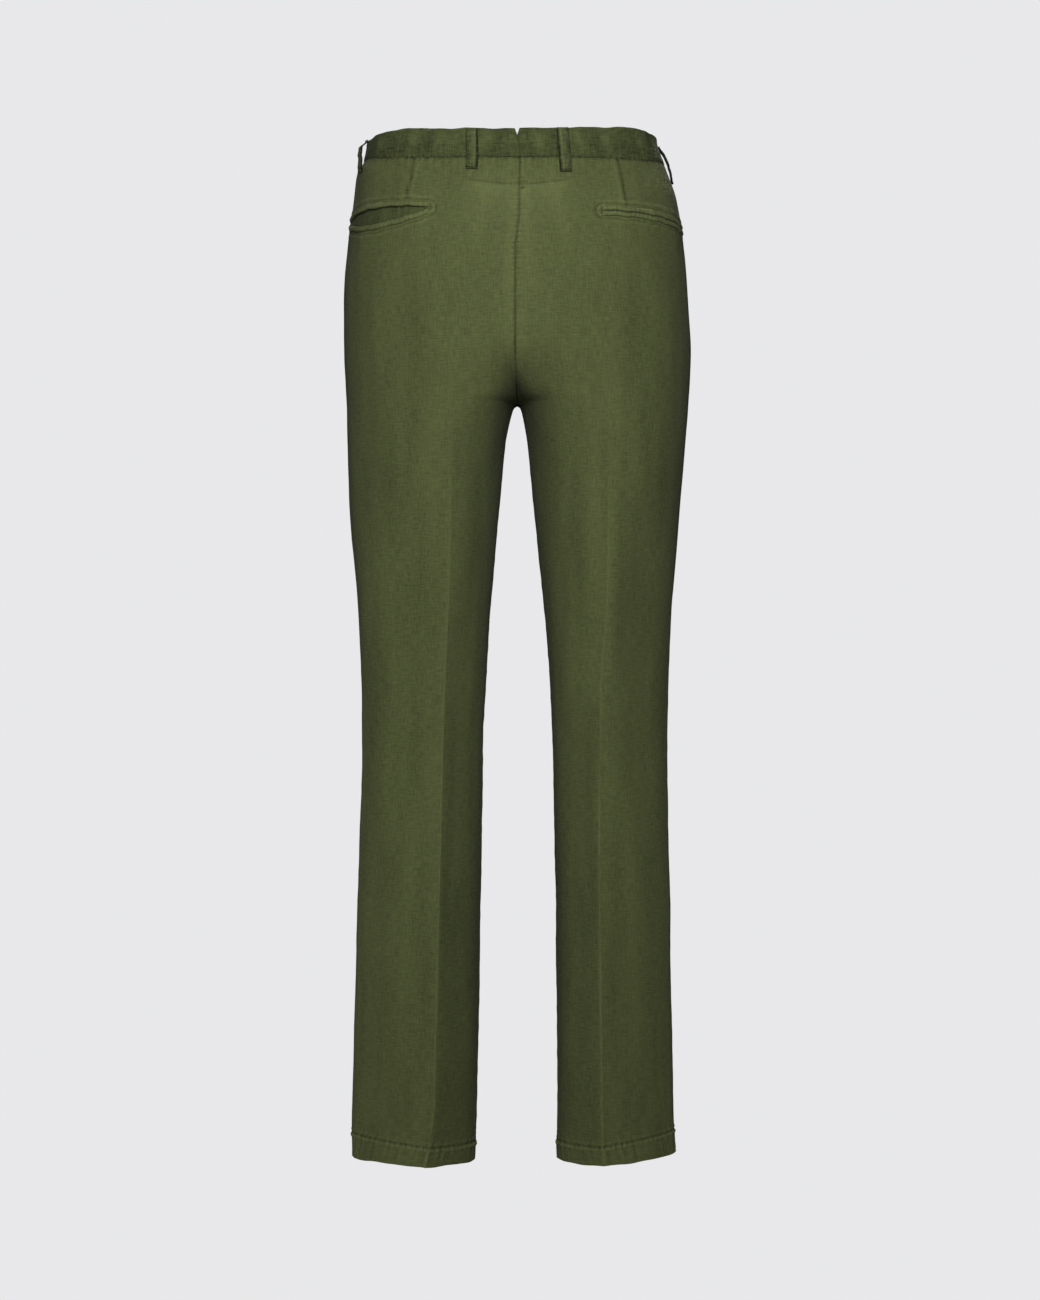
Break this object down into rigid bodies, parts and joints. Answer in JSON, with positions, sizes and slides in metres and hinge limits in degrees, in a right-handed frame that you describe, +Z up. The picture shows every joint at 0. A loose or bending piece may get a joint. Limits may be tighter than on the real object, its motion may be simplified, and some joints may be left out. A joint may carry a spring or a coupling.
{
  "type": "linen tailored trousers",
  "caption": "Straight-leg tailored linen trousers in olive green, worn shape with no wearer: narrow waistband with belt loops, jetted back pockets, button fly and pressed creases.",
  "frame": {"origin": "centre of the waist opening, at half the height of the waistband at the centre back", "axes": "+Z up towards the wearer's head, -Y to the wearer's front, +X to the wearer's left"},
  "size_m": [0.3615, 0.2515, 1.067],
  "materials": {
    "linen": "plain-weave olive linen, garment dyed, slightly slubbed, soft sheen",
    "facing_linen": "the same linen in the shade of a pocket mouth",
    "button_horn": "dark horn-look button, satin"
  },
  "bodies": {
    "root": {"back_panel_left": "linen", "back_panel_right": "linen", "front_panel_left": "linen", "front_panel_right": "linen", "waistband_left": "linen", "waistband_right": "linen", "loop_back_left": "linen", "loop_back_right": "linen", "loop_side_left": "linen", "loop_side_right": "linen", "loop_front_left": "linen", "loop_front_right": "linen", "pocket_jet_upper_left": "linen", "pocket_jet_lower_left": "linen", "pocket_jet_upper_right": "linen", "pocket_jet_lower_right": "linen", "fly_placket": "linen", "pocket_facing_left": "facing_linen", "waist_button": "button_horn"}
  },
  "joints": []
}
